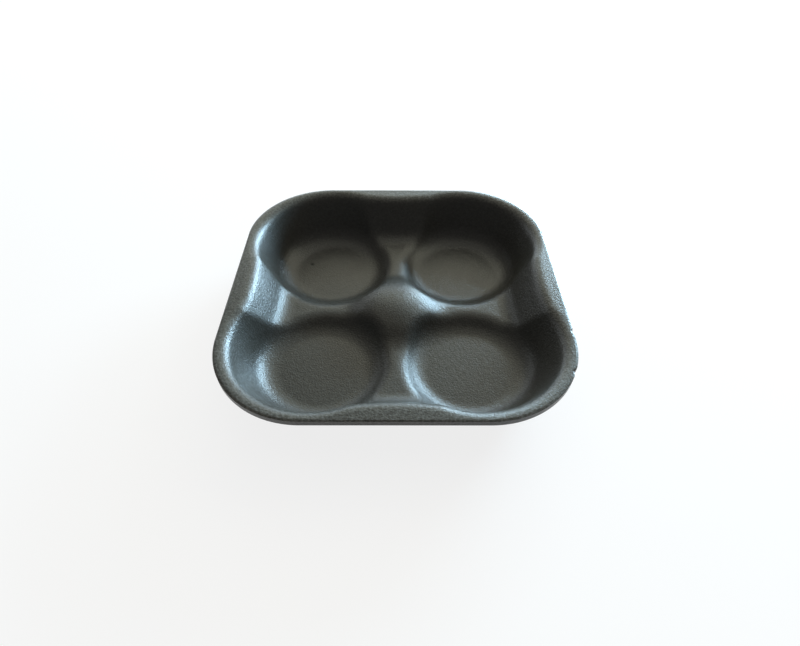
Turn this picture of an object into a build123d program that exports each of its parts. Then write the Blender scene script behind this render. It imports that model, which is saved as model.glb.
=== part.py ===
from build123d import *
from math import acos, cos, degrees, radians, sin, sqrt, tan
import os

# Driving dimensions, in millimetres and degrees
WIDTH = 180.0             # outer edge to outer edge of the rim, both ways
HEIGHT = 32.0             # resting plane to the top of the rim
SHEET_THICKNESS = 3.0     # gauge of the foam sheet
POCKET_SHARE = 0.44       # spacing of the pocket centres, as a share of the width
POCKET_DRAFT = 23.0       # lean of a pocket's wall from upright
TOE_RADIUS = 15.0         # round from a pocket's floor up into its wall
BRIM_RADIUS = 10.0        # round over the edge of a pocket, along ridges, peak and side walls
RIDGE_FLAT_WIDTH = 0.8    # flat left on a ridge where two pockets come closest
SIDE_RIM_WIDTH = 10.4     # outer edge to the wall at the middle of a side, before rounding
SIDE_DRAFT = 31.0         # lean of the wall at the middle of a side from upright
SIDE_FOOT_RADIUS = 12.0   # round where that wall comes down on a ridge
PEAK_HEIGHT = 9.0         # top of the middle peak above the ridges
PEAK_RADIUS = 44.0        # round on top of the peak
PEAK_FOOT_RADIUS = 20.0   # round at the foot of the peak
PEAK_SIDE_RISE = 0.425626 # rise of the peak's straight side, between its two rounds
RIM_RADIUS = 7.0          # round from the rim down into the tray
RIM_FLAT_WIDTH = 0.9      # flat left on the rim beside a pocket
CORNER_RIM_WIDTH = 6.6    # outer edge to a pocket's wall across a corner, before rounding
UNDER_RADIUS = 1.0        # round under the rim, where it turns down into the wall
TRIM_RADIUS = 0.4         # softened upper corner of the trimmed edge

# Sizes that follow: pockets fill the width, ridges stand as high as the pockets leave them,
# and the peak's side is as steep as its height and its two rounds make it
PITCH = WIDTH * POCKET_SHARE
WALL_SLOPE = radians(90 - POCKET_DRAFT)
RIM_WIDTH = RIM_FLAT_WIDTH + RIM_RADIUS * tan(WALL_SLOPE / 2)
POCKET_RADIUS = (WIDTH - PITCH) / 2 - RIM_WIDTH
WALL_RISE = HEIGHT - SHEET_THICKNESS - TOE_RADIUS * (1 - cos(WALL_SLOPE))
FLOOR_RADIUS = POCKET_RADIUS - TOE_RADIUS * sin(WALL_SLOPE) - WALL_RISE / tan(WALL_SLOPE)
SWING = TOE_RADIUS + BRIM_RADIUS
RIDGE_HEIGHT = SWING - sqrt(SWING**2 - ((PITCH - RIDGE_FLAT_WIDTH) / 2 - FLOOR_RADIUS) ** 2)
CORNER_REACH = PITCH * sqrt(0.5) + POCKET_RADIUS + CORNER_RIM_WIDTH
CORNER_RADIUS = (WIDTH * sqrt(0.5) - CORNER_REACH) / (sqrt(2) - 1)
PEAK_TURN = (PEAK_HEIGHT - PEAK_SIDE_RISE) / (PEAK_RADIUS + PEAK_FOOT_RADIUS)
PEAK_SLOPE = degrees(acos(1 - PEAK_TURN))
SPARE = 8.0               # height that the formed faces run on above the rim, cut off at the end
TUCK = 0.5                # how far the clearing stays inside a pocket's wall at rim height

# The tray is one formed sheet: an upper face and an underside one gauge below it.
# Each function takes depth, the distance of its face below the upper face, so that both
# faces come from the same dimensions and stay parallel.


def pocket_profile(depth):
    """Half section of one round pocket: flat floor, toe and leaning wall."""
    floor = SHEET_THICKNESS - depth
    with BuildSketch(Plane.XZ) as profile:
        with BuildLine():
            bottom = Line((0, floor), (FLOOR_RADIUS, floor))
            toe = JernArc(bottom @ 1, (1, 0), TOE_RADIUS + depth, 90 - POCKET_DRAFT)
            rise = HEIGHT + SPARE - (toe @ 1).Y
            wall = Line(toe @ 1, toe @ 1 + (toe % 1) * rise / cos(radians(POCKET_DRAFT)))
            Polyline(wall @ 1, (0, HEIGHT + SPARE), bottom @ 0)
        make_face()
    return profile.sketch


def clearing_outline(depth):
    """Plan of the clearing at its top: round within the pockets, drawn in at the side middles."""
    centre = PITCH / 2
    grow = depth / cos(radians(SIDE_DRAFT)) + SPARE * tan(radians(SIDE_DRAFT))
    corner = POCKET_RADIUS - TUCK + grow
    reach = WIDTH / 2 - SIDE_RIM_WIDTH + grow - centre
    waist = (centre**2 + reach**2 - corner**2) / (2 * (corner - reach))
    share = corner / (corner + waist)
    middle = centre + reach
    meet = (centre * (1 - share), centre + share * (reach + waist))
    diagonal = centre + corner * sqrt(0.5)
    with BuildSketch(Plane.XY.offset(HEIGHT + SPARE)) as outline:
        with BuildLine():
            RadiusArc((0, middle), meet, -waist)
            ThreePointArc(meet, (diagonal, diagonal), (meet[1], meet[0]))
            RadiusArc((meet[1], meet[0]), (middle, 0), -waist)
            mirror(about=Plane.XZ)
            mirror(about=Plane.YZ)
        make_face()
    return outline.sketch


def peak_profile(depth):
    """Half section of the low peak that stands where the four ridges meet."""
    top = SHEET_THICKNESS + RIDGE_HEIGHT + PEAK_HEIGHT - depth
    with BuildSketch(Plane.XZ) as profile:
        with BuildLine():
            cap = JernArc((0, top), (1, 0), PEAK_RADIUS - depth, -PEAK_SLOPE)
            side = Line(cap @ 1, cap @ 1 + (cap % 1) * (cap @ 1).Y / sin(radians(PEAK_SLOPE)))
            Polyline(side @ 1, (0, 0), cap @ 0)
        make_face()
    return profile.sketch


def formed_face(depth):
    """The space above one face of the sheet: a clearing over ridges and peak, and four pockets."""
    level = SHEET_THICKNESS + RIDGE_HEIGHT - depth
    with BuildPart() as pocket:
        add(pocket_profile(depth))
        revolve(axis=Axis.Z)
    with BuildPart() as peak:
        add(peak_profile(depth))
        revolve(axis=Axis.Z)
    with BuildPart() as space:
        add(clearing_outline(depth))
        extrude(amount=level - HEIGHT - SPARE, taper=SIDE_DRAFT)
        fillet(space.faces().sort_by(Axis.Z)[0].edges(), radius=SIDE_FOOT_RADIUS + depth)
        add(peak.part, mode=Mode.SUBTRACT)
        ridge_top = space.faces().filter_by(Plane.XY).sort_by(Axis.Z)[0]
        fillet(ridge_top.inner_wires()[0].edges(), radius=PEAK_FOOT_RADIUS + depth)
        with GridLocations(PITCH, PITCH, 2, 2):
            add(pocket.part)
        fillet(space.edges(Select.NEW), radius=BRIM_RADIUS - depth)
        split(bisect_by=Plane.XY.offset(HEIGHT), keep=Keep.BOTTOM)
    return space.part


# The formed sheet with its flat rim, trimmed square to a rounded outline
with BuildPart() as tray:
    add(formed_face(SHEET_THICKNESS))
    with BuildSketch(Plane.XY.offset(HEIGHT - SHEET_THICKNESS)):
        RectangleRounded(WIDTH, WIDTH, CORNER_RADIUS)
    extrude(amount=SHEET_THICKNESS)
    add(formed_face(0), mode=Mode.SUBTRACT)
    rim_top = tray.faces().filter_by(Plane.XY).sort_by(Axis.Z)[-1]
    fillet(rim_top.inner_wires()[0].edges(), radius=RIM_RADIUS)
    rim_under = tray.faces().filter_by(Plane.XY).sort_by(Axis.Z)[-2]
    fillet(rim_under.inner_wires()[0].edges(), radius=UNDER_RADIUS)
    rim_top = tray.faces().filter_by(Plane.XY).sort_by(Axis.Z)[-1]
    fillet(rim_top.outer_wire().edges(), radius=TRIM_RADIUS)

tray.part.label = "tray"
os.makedirs("parts", exist_ok=True)
export_step(tray.part, "parts/tray.step")
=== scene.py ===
import bpy
from mathutils import Matrix, Vector


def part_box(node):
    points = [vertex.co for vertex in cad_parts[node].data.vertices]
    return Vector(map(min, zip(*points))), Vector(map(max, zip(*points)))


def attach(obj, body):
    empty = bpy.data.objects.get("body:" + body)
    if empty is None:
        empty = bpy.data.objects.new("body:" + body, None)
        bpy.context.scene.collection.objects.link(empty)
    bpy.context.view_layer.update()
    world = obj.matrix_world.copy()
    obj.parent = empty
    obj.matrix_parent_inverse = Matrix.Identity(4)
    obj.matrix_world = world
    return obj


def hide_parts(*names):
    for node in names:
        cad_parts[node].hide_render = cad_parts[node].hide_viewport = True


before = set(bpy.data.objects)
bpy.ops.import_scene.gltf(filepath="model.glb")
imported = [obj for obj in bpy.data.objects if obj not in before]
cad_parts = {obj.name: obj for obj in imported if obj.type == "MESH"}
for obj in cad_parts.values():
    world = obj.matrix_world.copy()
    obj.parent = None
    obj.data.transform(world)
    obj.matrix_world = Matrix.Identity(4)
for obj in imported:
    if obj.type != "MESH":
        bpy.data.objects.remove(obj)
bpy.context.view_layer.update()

# Tray
# One sheet of black polystyrene foam, heated and drawn over a mould, then cut out along its rim.
# The skin is closed and slightly shiny, with fine cells under it and a pale speckle on the rim.
# The sheet is laid as a fine net over the CAD form and given the gauge of the foam.

form = bpy.data.objects["tray"]
low, high = (Vector(corner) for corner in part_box("tray"))
tray_width = high.x - low.x
rim_height = high.z
corner_radius = 0.0478
gauge = 0.003
net_cells = 210
held_edge = 0.993          # share of the way out to the rim where the last true height is read
edge_start = 0.992         # share of the way out where the trimmed edge begins to turn down
edge_round = 0.0003
ripple_depth = 0.00008
ripple_scale = 230.0
cell_size = 0.0009
foam_dark = (0.030, 0.029, 0.026, 1.0)
foam_pale = (0.118, 0.117, 0.108, 1.0)
scuff_dark = (0.006, 0.006, 0.006, 1.0)
scuff_place = (-0.0553, 0.0472, gauge)
tiny = 0.0001
# Nicks on the right edge of the rim: place, reach, push inwards and sink
nicks = (
    ((0.0905, 0.0433, rim_height), 0.0022, 0.0004, 0.0006),
    ((0.0900, -0.0372, rim_height), 0.0020, 0.0005, 0.0004),
    ((0.0858, -0.0630, rim_height), 0.0026, 0.0010, 0.0006),
)


def add_node(tree, kind, inputs=None, **settings):
    made = tree.nodes.new(kind)
    for name, value in settings.items():
        setattr(made, name, value)
    for key, value in (inputs or {}).items():
        if isinstance(value, bpy.types.NodeSocket):
            tree.links.new(value, made.inputs[key])
        else:
            made.inputs[key].default_value = value
    return made


def calc(tree, operation, first, second=0.0, third=0.0):
    made = add_node(tree, "ShaderNodeMath", {0: first, 1: second, 2: third}, operation=operation)
    return made.outputs[0]


def vector_calc(tree, operation, first, second=(0.0, 0.0, 0.0)):
    made = add_node(tree, "ShaderNodeVectorMath", {0: first, 1: second}, operation=operation)
    return made.outputs[0]


def scaled(tree, vector, factor):
    made = add_node(tree, "ShaderNodeVectorMath", {0: vector, "Scale": factor}, operation="SCALE")
    return made.outputs[0]


def distance(tree, first, second):
    made = add_node(tree, "ShaderNodeVectorMath", {0: first, 1: second}, operation="DISTANCE")
    return made.outputs["Value"]


def new_tree(name, kind, sockets):
    tree = bpy.data.node_groups.new(name, kind)
    for label, socket_kind, side in sockets:
        tree.interface.new_socket(label, in_out=side, socket_type=socket_kind)
    return tree, tree.nodes.new("NodeGroupInput"), tree.nodes.new("NodeGroupOutput")


# A knock on the rim: pushes the net in towards the middle of the tray and down, fading with distance
nick, given, result = new_tree("rim_nick", "GeometryNodeTree", [
    ("Place", "NodeSocketVector", "INPUT"),
    ("Reach", "NodeSocketFloat", "INPUT"),
    ("Push", "NodeSocketFloat", "INPUT"),
    ("Sink", "NodeSocketFloat", "INPUT"),
    ("Offset", "NodeSocketVector", "OUTPUT"),
])
here = nick.nodes.new("GeometryNodeInputPosition").outputs[0]
fade = add_node(nick, "ShaderNodeMapRange", {
    "Value": distance(nick, here, given.outputs["Place"]),
    "From Min": 0.0, "From Max": given.outputs["Reach"],
    "To Min": 1.0, "To Max": 0.0}, interpolation_type="SMOOTHSTEP")
to_middle = vector_calc(nick, "MULTIPLY", given.outputs["Place"], (-1.0, -1.0, 0.0))
push = scaled(nick, vector_calc(nick, "NORMALIZE", to_middle), given.outputs["Push"])
sink = add_node(nick, "ShaderNodeCombineXYZ", {"Z": calc(nick, "MULTIPLY", given.outputs["Sink"], -1.0)})
both = vector_calc(nick, "ADD", push, sink.outputs[0])
nick.links.new(scaled(nick, both, fade.outputs["Result"]), result.inputs["Offset"])

# The sheet: a net drawn out to the rim's rounded outline, dropped on the form, then thickened
sheet, given, result = new_tree("foam_sheet", "GeometryNodeTree", [
    ("Form", "NodeSocketObject", "INPUT"),
    ("Width", "NodeSocketFloat", "INPUT"),
    ("Corner Radius", "NodeSocketFloat", "INPUT"),
    ("Rim Height", "NodeSocketFloat", "INPUT"),
    ("Gauge", "NodeSocketFloat", "INPUT"),
    ("Cells", "NodeSocketInt", "INPUT"),
    ("Ripple", "NodeSocketFloat", "INPUT"),
    ("Material", "NodeSocketMaterial", "INPUT"),
    ("Sheet", "NodeSocketGeometry", "OUTPUT"),
])
half = calc(sheet, "MULTIPLY", given.outputs["Width"], 0.5)
centre = calc(sheet, "SUBTRACT", half, given.outputs["Corner Radius"])
count = calc(sheet, "ADD", given.outputs["Cells"], 1.0)
net = add_node(sheet, "GeometryNodeMeshGrid", {
    "Size X": 2.0, "Size Y": 2.0, "Vertices X": count, "Vertices Y": count})
here = sheet.nodes.new("GeometryNodeInputPosition").outputs[0]
place = add_node(sheet, "ShaderNodeSeparateXYZ", {0: here})
# The square net is first made round, so that no kink runs along its diagonals
square_x = calc(sheet, "MULTIPLY", place.outputs["X"], place.outputs["X"])
square_y = calc(sheet, "MULTIPLY", place.outputs["Y"], place.outputs["Y"])
shrink_x = calc(sheet, "SQRT", calc(sheet, "MULTIPLY_ADD", square_y, -0.5, 1.0))
shrink_y = calc(sheet, "SQRT", calc(sheet, "MULTIPLY_ADD", square_x, -0.5, 1.0))
round_x = calc(sheet, "MULTIPLY", place.outputs["X"], shrink_x)
round_y = calc(sheet, "MULTIPLY", place.outputs["Y"], shrink_y)
ring_square = calc(sheet, "MULTIPLY_ADD", round_x, round_x, calc(sheet, "MULTIPLY", round_y, round_y))
ring = calc(sheet, "SQRT", ring_square)
ring_floor = calc(sheet, "MAXIMUM", ring, tiny)
way_x = calc(sheet, "DIVIDE", calc(sheet, "ABSOLUTE", round_x), ring_floor)
way_y = calc(sheet, "DIVIDE", calc(sheet, "ABSOLUTE", round_y), ring_floor)
# How far out the rim lies along each way: a straight side, or the arc of a corner
along = calc(sheet, "MULTIPLY", centre, calc(sheet, "ADD", way_x, way_y))
centre_square = calc(sheet, "MULTIPLY", calc(sheet, "MULTIPLY", centre, centre), 2.0)
radius_square = calc(sheet, "MULTIPLY", given.outputs["Corner Radius"], given.outputs["Corner Radius"])
short = calc(sheet, "SUBTRACT", centre_square, radius_square)
root = calc(sheet, "SQRT", calc(sheet, "SUBTRACT", calc(sheet, "MULTIPLY", along, along), short))
arc_reach = calc(sheet, "ADD", along, root)
longer = calc(sheet, "MAXIMUM", calc(sheet, "MAXIMUM", way_x, way_y), tiny)
side_reach = calc(sheet, "DIVIDE", half, longer)
off_middle = calc(sheet, "MULTIPLY", side_reach, calc(sheet, "MINIMUM", way_x, way_y))
on_side = calc(sheet, "LESS_THAN", off_middle, centre)
reach = add_node(sheet, "ShaderNodeMix", {
    "Factor": on_side, 2: arc_reach, 3: side_reach}, data_type="FLOAT")
# Rings are round in the middle, take the rim's outline at the edge, and stand closer together there
ring_reach = add_node(sheet, "ShaderNodeMix", {
    "Factor": ring_square, 2: half, 3: reach.outputs[0]}, data_type="FLOAT")
closer = calc(sheet, "MULTIPLY_ADD", ring, -0.2, 1.2)
tight = calc(sheet, "MULTIPLY", ring, closer)
spread = calc(sheet, "MULTIPLY", closer, ring_reach.outputs[0])
flat_x = calc(sheet, "MULTIPLY", round_x, spread)
flat_y = calc(sheet, "MULTIPLY", round_y, spread)
# Height of the form below each point, read just inside the edge for the last rings
hold = calc(sheet, "DIVIDE", calc(sheet, "MINIMUM", tight, held_edge), calc(sheet, "MAXIMUM", tight, tiny))
above = add_node(sheet, "ShaderNodeCombineXYZ", {
    "X": calc(sheet, "MULTIPLY", flat_x, hold), "Y": calc(sheet, "MULTIPLY", flat_y, hold), "Z": 0.1})
mould = add_node(sheet, "GeometryNodeObjectInfo", {
    "Object": given.outputs["Form"]}, transform_space="ORIGINAL")
drop = add_node(sheet, "GeometryNodeRaycast", {
    "Target Geometry": mould.outputs["Geometry"], "Source Position": above.outputs[0],
    "Ray Direction": (0.0, 0.0, -1.0), "Ray Length": 0.2})
hit = add_node(sheet, "ShaderNodeSeparateXYZ", {0: drop.outputs["Hit Position"]})
eased = add_node(sheet, "GeometryNodeBlurAttribute", {"Value": hit.outputs["Z"], "Iterations": 2})
edge_drop = add_node(sheet, "ShaderNodeMapRange", {
    "Value": tight, "From Min": edge_start, "From Max": 1.0, "To Min": 0.0, "To Max": edge_round})
height = calc(sheet, "SUBTRACT", eased.outputs[0], edge_drop.outputs["Result"])
laid = add_node(sheet, "ShaderNodeCombineXYZ", {"X": flat_x, "Y": flat_y, "Z": height})
draped = add_node(sheet, "GeometryNodeSetPosition", {
    "Geometry": net.outputs["Mesh"], "Position": laid.outputs[0]})
# The drawn skin is never quite even: shallow ripples a few millimetres across, and the nicks
here = sheet.nodes.new("GeometryNodeInputPosition").outputs[0]
ripple = add_node(sheet, "ShaderNodeTexNoise", {
    "Vector": here, "Scale": ripple_scale, "Detail": 2.0, "Roughness": 0.6})
swell = calc(sheet, "MULTIPLY", calc(sheet, "SUBTRACT", ripple.outputs[0], 0.5), given.outputs["Ripple"])
facing = sheet.nodes.new("GeometryNodeInputNormal").outputs[0]
knocks = scaled(sheet, facing, swell)
for values in nicks:
    dent = add_node(sheet, "GeometryNodeGroup", node_tree=nick)
    for label, value in zip(("Place", "Reach", "Push", "Sink"), values):
        dent.inputs[label].default_value = value
    knocks = vector_calc(sheet, "ADD", knocks, dent.outputs["Offset"])
worn = add_node(sheet, "GeometryNodeSetPosition", {"Geometry": draped.outputs[0], "Offset": knocks})
# The gauge: straight down at the rim, square to the skin elsewhere
facing = sheet.nodes.new("GeometryNodeInputNormal").outputs[0]
here = sheet.nodes.new("GeometryNodeInputPosition").outputs[0]
level = add_node(sheet, "ShaderNodeSeparateXYZ", {0: here})
rim_share = add_node(sheet, "ShaderNodeMapRange", {
    "Value": calc(sheet, "SUBTRACT", given.outputs["Rim Height"], level.outputs["Z"]),
    "From Min": 0.0005, "From Max": 0.0012, "To Min": 1.0, "To Max": 0.0})
outward = add_node(sheet, "ShaderNodeMix", {
    "Factor": rim_share.outputs["Result"], 4: facing, 5: (0.0, 0.0, 1.0)}, data_type="VECTOR")
down = calc(sheet, "MULTIPLY", given.outputs["Gauge"], -1.0)
inner = add_node(sheet, "GeometryNodeExtrudeMesh", {
    "Mesh": worn.outputs[0], "Offset": outward.outputs[1],
    "Offset Scale": down, "Individual": False}, mode="FACES")
under = add_node(sheet, "GeometryNodeSetShadeSmooth", {
    "Geometry": inner.outputs["Mesh"], "Selection": inner.outputs["Side"], "Shade Smooth": False})
turned = add_node(sheet, "GeometryNodeFlipFaces", {"Mesh": under.outputs[0]})
whole = sheet.nodes.new("GeometryNodeJoinGeometry")
sheet.links.new(worn.outputs[0], whole.inputs[0])
sheet.links.new(turned.outputs[0], whole.inputs[0])
closed = add_node(sheet, "GeometryNodeMergeByDistance", {
    "Geometry": whole.outputs[0], "Distance": 0.00001})
single = add_node(sheet, "GeometryNodeRealizeInstances", {"Geometry": closed.outputs[0]})
coated = add_node(sheet, "GeometryNodeSetMaterial", {
    "Geometry": single.outputs[0], "Material": given.outputs["Material"]})
sheet.links.new(coated.outputs[0], result.inputs["Sheet"])

# Skin of the foam: near-black, with fine cells that break up its sheen and a stronger speckle on the rim
skin, given, result = new_tree("foam_skin", "ShaderNodeTree", [
    ("Dark", "NodeSocketColor", "INPUT"),
    ("Pale", "NodeSocketColor", "INPUT"),
    ("Cell Size", "NodeSocketFloat", "INPUT"),
    ("Rim Height", "NodeSocketFloat", "INPUT"),
    ("Scuff", "NodeSocketVector", "INPUT"),
    ("Colour", "NodeSocketColor", "OUTPUT"),
    ("Roughness", "NodeSocketFloat", "OUTPUT"),
    ("Normal", "NodeSocketVector", "OUTPUT"),
])
spot = skin.nodes.new("ShaderNodeTexCoord").outputs["Object"]
level = add_node(skin, "ShaderNodeSeparateXYZ", {0: spot})
rim_part = add_node(skin, "ShaderNodeMapRange", {
    "Value": calc(skin, "SUBTRACT", given.outputs["Rim Height"], level.outputs["Z"]),
    "From Min": 0.0004, "From Max": 0.0030, "To Min": 1.0, "To Max": 0.0}).outputs["Result"]
per_metre = calc(skin, "DIVIDE", 1.0, given.outputs["Cell Size"])
cells = add_node(skin, "ShaderNodeTexVoronoi", {"Vector": spot, "Scale": per_metre, "Randomness": 1.0})
grain = add_node(skin, "ShaderNodeTexNoise", {
    "Vector": spot, "Scale": calc(skin, "MULTIPLY", per_metre, 0.7), "Detail": 4.0, "Roughness": 0.7})
cloud = add_node(skin, "ShaderNodeTexNoise", {
    "Vector": spot, "Scale": 45.0, "Detail": 3.0, "Roughness": 0.55})
speckle = add_node(skin, "ShaderNodeMapRange", {
    "Value": grain.outputs[0], "From Min": 0.42, "From Max": 0.68, "To Min": 0.0, "To Max": 1.0})
strength = calc(skin, "MULTIPLY_ADD", rim_part, 0.55, 0.20)
shade = add_node(skin, "ShaderNodeMix", {
    "Factor": calc(skin, "MULTIPLY", speckle.outputs["Result"], strength),
    6: given.outputs["Dark"], 7: given.outputs["Pale"]}, data_type="RGBA")
# A small dark scuff on the floor of the back left pocket
scuff = add_node(skin, "ShaderNodeMapRange", {
    "Value": distance(skin, spot, given.outputs["Scuff"]),
    "From Min": 0.0005, "From Max": 0.0018, "To Min": 1.0, "To Max": 0.0})
scuffed = add_node(skin, "ShaderNodeMix", {
    "Factor": scuff.outputs["Result"], 6: shade.outputs[2], 7: scuff_dark}, data_type="RGBA")
skin.links.new(scuffed.outputs[2], result.inputs["Colour"])
rough = calc(skin, "MULTIPLY_ADD", cloud.outputs[0], 0.12, 0.245)
rough = calc(skin, "MULTIPLY_ADD", speckle.outputs["Result"], 0.08, rough)
rough = calc(skin, "MULTIPLY_ADD", scuff.outputs["Result"], 0.45, rough)
skin.links.new(rough, result.inputs["Roughness"])
fine = calc(skin, "MULTIPLY", grain.outputs[0], 0.8)
relief = calc(skin, "MULTIPLY_ADD", cells.outputs["Distance"], 0.5, fine)
bump = add_node(skin, "ShaderNodeBump", {"Strength": 0.55, "Distance": 0.0003, "Height": relief})
skin.links.new(bump.outputs[0], result.inputs["Normal"])

foam = bpy.data.materials.new("black_foam")
foam.use_nodes = True
shader = foam.node_tree.nodes["Principled BSDF"]
coat = add_node(foam.node_tree, "ShaderNodeGroup", node_tree=skin)
coat.inputs["Dark"].default_value = foam_dark
coat.inputs["Pale"].default_value = foam_pale
coat.inputs["Cell Size"].default_value = cell_size
coat.inputs["Rim Height"].default_value = rim_height
coat.inputs["Scuff"].default_value = scuff_place
for label, socket in (("Colour", "Base Color"), ("Roughness", "Roughness"), ("Normal", "Normal")):
    foam.node_tree.links.new(coat.outputs[label], shader.inputs[socket])
shader.inputs["IOR"].default_value = 1.45

tray = bpy.data.objects.new("tray_sheet", bpy.data.meshes.new("tray_sheet"))
bpy.context.scene.collection.objects.link(tray)
drape = tray.modifiers.new("sheet", "NODES")
drape.node_group = sheet
settings = {
    "Form": form, "Width": tray_width, "Corner Radius": corner_radius, "Rim Height": rim_height,
    "Gauge": gauge, "Cells": net_cells, "Ripple": ripple_depth, "Material": foam}
for socket in sheet.interface.items_tree:
    if socket.in_out == "INPUT":
        drape[socket.identifier] = settings[socket.name]
evaluated = tray.evaluated_get(bpy.context.evaluated_depsgraph_get())
finished = bpy.data.meshes.new_from_object(evaluated)
tray.modifiers.remove(drape)
tray.data = finished
finished.name = "tray_sheet"
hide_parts("tray")
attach(tray, "root")

# Floor
# A plain white table, wide enough to fill the view, which keeps a faint shadow under the tray.
# It lies a tenth of a millimetre below the tray, so that the ripples under the pockets stay clear of it.
table_half = 3.0
table_level = -0.0001
table_glow = 0.82
corners = [(-table_half, -table_half, 0), (table_half, -table_half, 0),
           (table_half, table_half, 0), (-table_half, table_half, 0)]
floor_mesh = bpy.data.meshes.new("table")
floor_mesh.from_pydata(corners, [], [(0, 1, 2, 3)])
table = bpy.data.objects.new("table", floor_mesh)
table.location.z = table_level
bpy.context.scene.collection.objects.link(table)
white = bpy.data.materials.new("table_white")
white.use_nodes = True
nodes = white.node_tree
nodes.nodes.clear()
matt = add_node(nodes, "ShaderNodeBsdfDiffuse", {"Color": (0.92, 0.92, 0.92, 1.0)})
bright = add_node(nodes, "ShaderNodeEmission", {"Color": (1.0, 1.0, 1.0, 1.0), "Strength": 1.0})
seen = nodes.nodes.new("ShaderNodeLightPath")
direct = calc(nodes, "MAXIMUM", seen.outputs["Is Camera Ray"], seen.outputs["Is Glossy Ray"])
direct = calc(nodes, "MAXIMUM", direct, seen.outputs["Is Transmission Ray"])
share = calc(nodes, "MULTIPLY", direct, table_glow)
mixed = add_node(nodes, "ShaderNodeMixShader", {0: share, 1: matt.outputs[0], 2: bright.outputs[0]})
add_node(nodes, "ShaderNodeOutputMaterial", {"Surface": mixed.outputs[0]})
floor_mesh.materials.append(white)

# Light
# A cool window behind the tray on the right gives the gleam on the slopes that face it, a pale wall
# behind the tray draws thin lines along the brims, and a soft ceiling lights floors, ridges and rim.


def soft_panel(name, place, width, depth, power, colour):
    lamp = bpy.data.lights.new(name, "AREA")
    lamp.shape = "RECTANGLE"
    lamp.size = width
    lamp.size_y = depth
    lamp.energy = power
    lamp.color = colour
    panel = bpy.data.objects.new(name, lamp)
    panel.location = place
    panel.rotation_euler = (-Vector(place)).to_track_quat("-Z", "Y").to_euler()
    panel.visible_camera = False
    bpy.context.scene.collection.objects.link(panel)


soft_panel("window", (0.60, 0.66, 0.21), 0.38, 0.26, 20.0, (0.54, 0.81, 1.0))
soft_panel("window_side", (0.34, 0.80, 0.23), 0.24, 0.42, 7.0, (0.62, 0.85, 1.0))
soft_panel("pale_wall", (-0.03, 0.96, 0.18), 0.65, 0.35, 2.7, (0.80, 0.93, 1.0))
soft_panel("pale_corner", (-0.65, 0.72, 0.22), 0.75, 0.42, 1.6, (0.90, 0.97, 1.0))
soft_panel("skylight", (0.30, 0.68, 0.67), 1.70, 0.46, 5.0, (1.0, 1.0, 0.80))
soft_panel("ceiling", (0.05, 0.26, 0.97), 1.40, 0.90, 2.2, (1.0, 0.99, 0.84))
# The camera sees the room white, while the tray is lit by a small share of it
room_light = 0.16
world = bpy.data.worlds.new("room")
bpy.context.scene.world = world
world.use_nodes = True
room = world.node_tree.nodes["Background"]
room.inputs["Color"].default_value = (1.0, 0.99, 0.97, 1.0)
seen = world.node_tree.nodes.new("ShaderNodeLightPath")
glow = calc(world.node_tree, "MULTIPLY_ADD", seen.outputs["Is Camera Ray"], 1.0 - room_light, room_light)
world.node_tree.links.new(glow, room.inputs["Strength"])

# Camera
# It stands in front of the tray and looks down on it, as in the photograph.
eye = bpy.data.cameras.new("camera")
eye.lens = 22.725
eye.sensor_width = 36.0
eye.clip_start = 0.01
camera = bpy.data.objects.new("camera", eye)
ahead = Vector((0.00518811, 0.67557029, -0.73727734))
across = Vector((0.99998515, -0.00227485, 0.00495229))
upward = Vector((-0.00166843, 0.73729208, 0.67557206))
turn = Matrix((across, upward, -ahead)).transposed().to_4x4()
camera.matrix_world = Matrix.Translation((0.00077, -0.20678, 0.22285)) @ turn
bpy.context.scene.collection.objects.link(camera)
bpy.context.scene.camera = camera
bpy.context.scene.view_settings.view_transform = "Standard"
